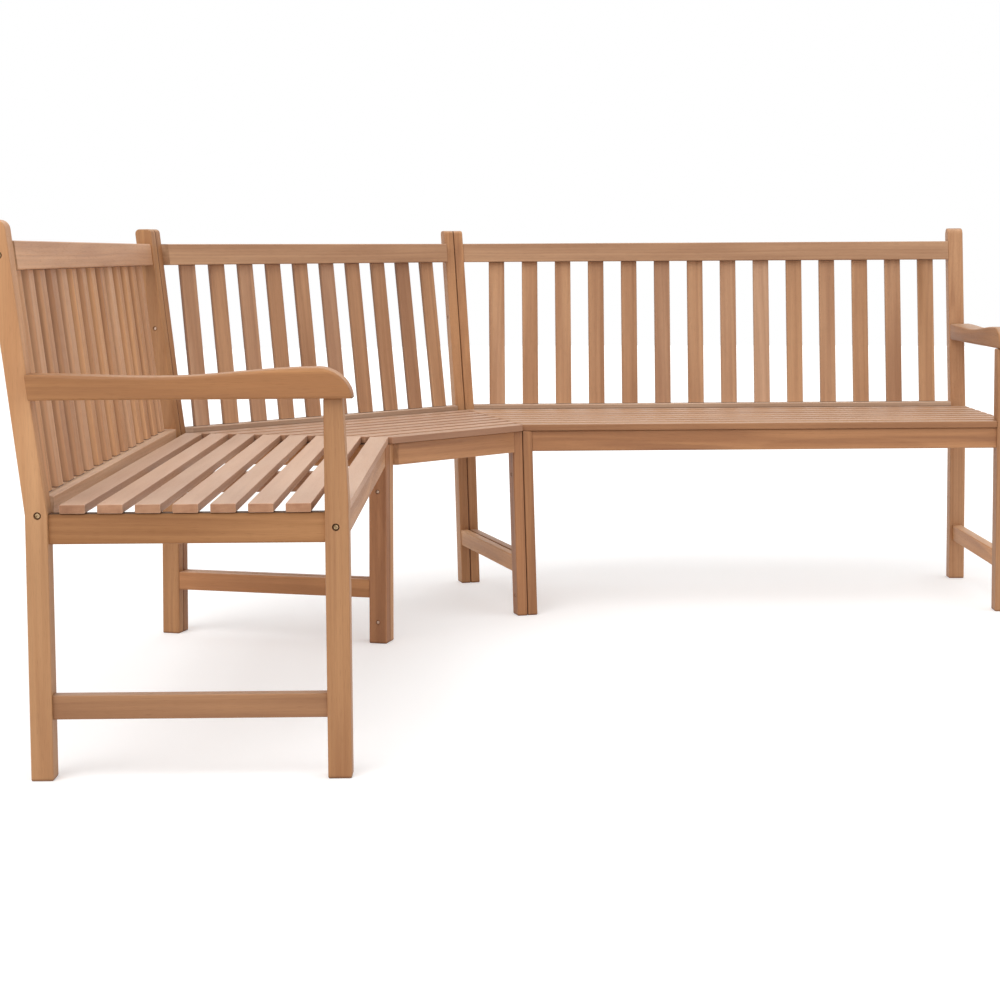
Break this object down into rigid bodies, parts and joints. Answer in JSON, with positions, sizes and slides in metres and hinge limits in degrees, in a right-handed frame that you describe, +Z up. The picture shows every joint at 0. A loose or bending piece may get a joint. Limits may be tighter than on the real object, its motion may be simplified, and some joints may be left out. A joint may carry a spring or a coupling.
{
  "type": "corner garden bench",
  "caption": "L-shaped slatted teak garden bench with a corner section between two wings, a leaning slatted back and an armrest at each end.",
  "frame": {"origin": "on the floor, in the middle of the square that the bench fills", "axes": "+Z up; the right wing's back runs along +Y and the left wing's back along -X, so the seats face the open corner at +X, -Y"},
  "size_m": [2.02, 2.02, 0.9],
  "materials": {
    "teak_legs": "oiled, fine straight grain",
    "teak_rails": "oiled, fine straight grain",
    "teak_arms": "oiled, smooth",
    "teak_seat": "sanded, paler and matt",
    "teak_back": "sanded, matt",
    "bolt_brass": "dulled"
  },
  "bodies": {
    "root": {"left_outer_rear_post": "teak_legs", "left_outer_front_leg": "teak_legs", "left_outer_side_rail": "teak_rails", "left_outer_stretcher": "teak_rails", "left_outer_arm": "teak_arms", "left_inner_rear_post": "teak_legs", "left_inner_front_leg": "teak_legs", "left_inner_side_rail": "teak_rails", "left_inner_stretcher": "teak_rails", "left_front_rail": "teak_rails", "left_seat_bearer": "teak_rails", "left_seat_slat_1": "teak_seat", "left_seat_slat_2": "teak_seat", "left_seat_slat_3": "teak_seat", "left_seat_slat_4": "teak_seat", "left_seat_slat_5": "teak_seat", "left_seat_slat_6": "teak_seat", "left_seat_slat_7": "teak_seat", "left_seat_slat_8": "teak_seat", "left_back_panel": "teak_back", "corner_left_rear_post": "teak_legs", "corner_left_front_leg": "teak_legs", "corner_left_side_rail": "teak_rails", "corner_left_stretcher": "teak_rails", "corner_right_rear_post": "teak_legs", "corner_right_front_leg": "teak_legs", "corner_right_side_rail": "teak_rails", "corner_right_stretcher": "teak_rails", "corner_front_rail": "teak_rails", "corner_seat_bearer": "teak_rails", "corner_seat_slat_1": "teak_seat", "corner_seat_slat_2": "teak_seat", "corner_seat_slat_3": "teak_seat", "corner_seat_slat_4": "teak_seat", "corner_seat_slat_5": "teak_seat", "corner_seat_slat_6": "teak_seat", "corner_seat_slat_7": "teak_seat", "corner_seat_slat_8": "teak_seat", "corner_back_panel": "teak_back", "right_inner_rear_post": "teak_legs", "right_inner_front_leg": "teak_legs", "right_inner_side_rail": "teak_rails", "right_inner_stretcher": "teak_rails", "right_outer_rear_post": "teak_legs", "right_outer_front_leg": "teak_legs", "right_outer_side_rail": "teak_rails", "right_outer_stretcher": "teak_rails", "right_outer_arm": "teak_arms", "right_front_rail": "teak_rails", "right_seat_bearer": "teak_rails", "right_seat_slat_1": "teak_seat", "right_seat_slat_2": "teak_seat", "right_seat_slat_3": "teak_seat", "right_seat_slat_4": "teak_seat", "right_seat_slat_5": "teak_seat", "right_seat_slat_6": "teak_seat", "right_seat_slat_7": "teak_seat", "right_seat_slat_8": "teak_seat", "right_back_panel": "teak_back"}
  },
  "joints": []
}
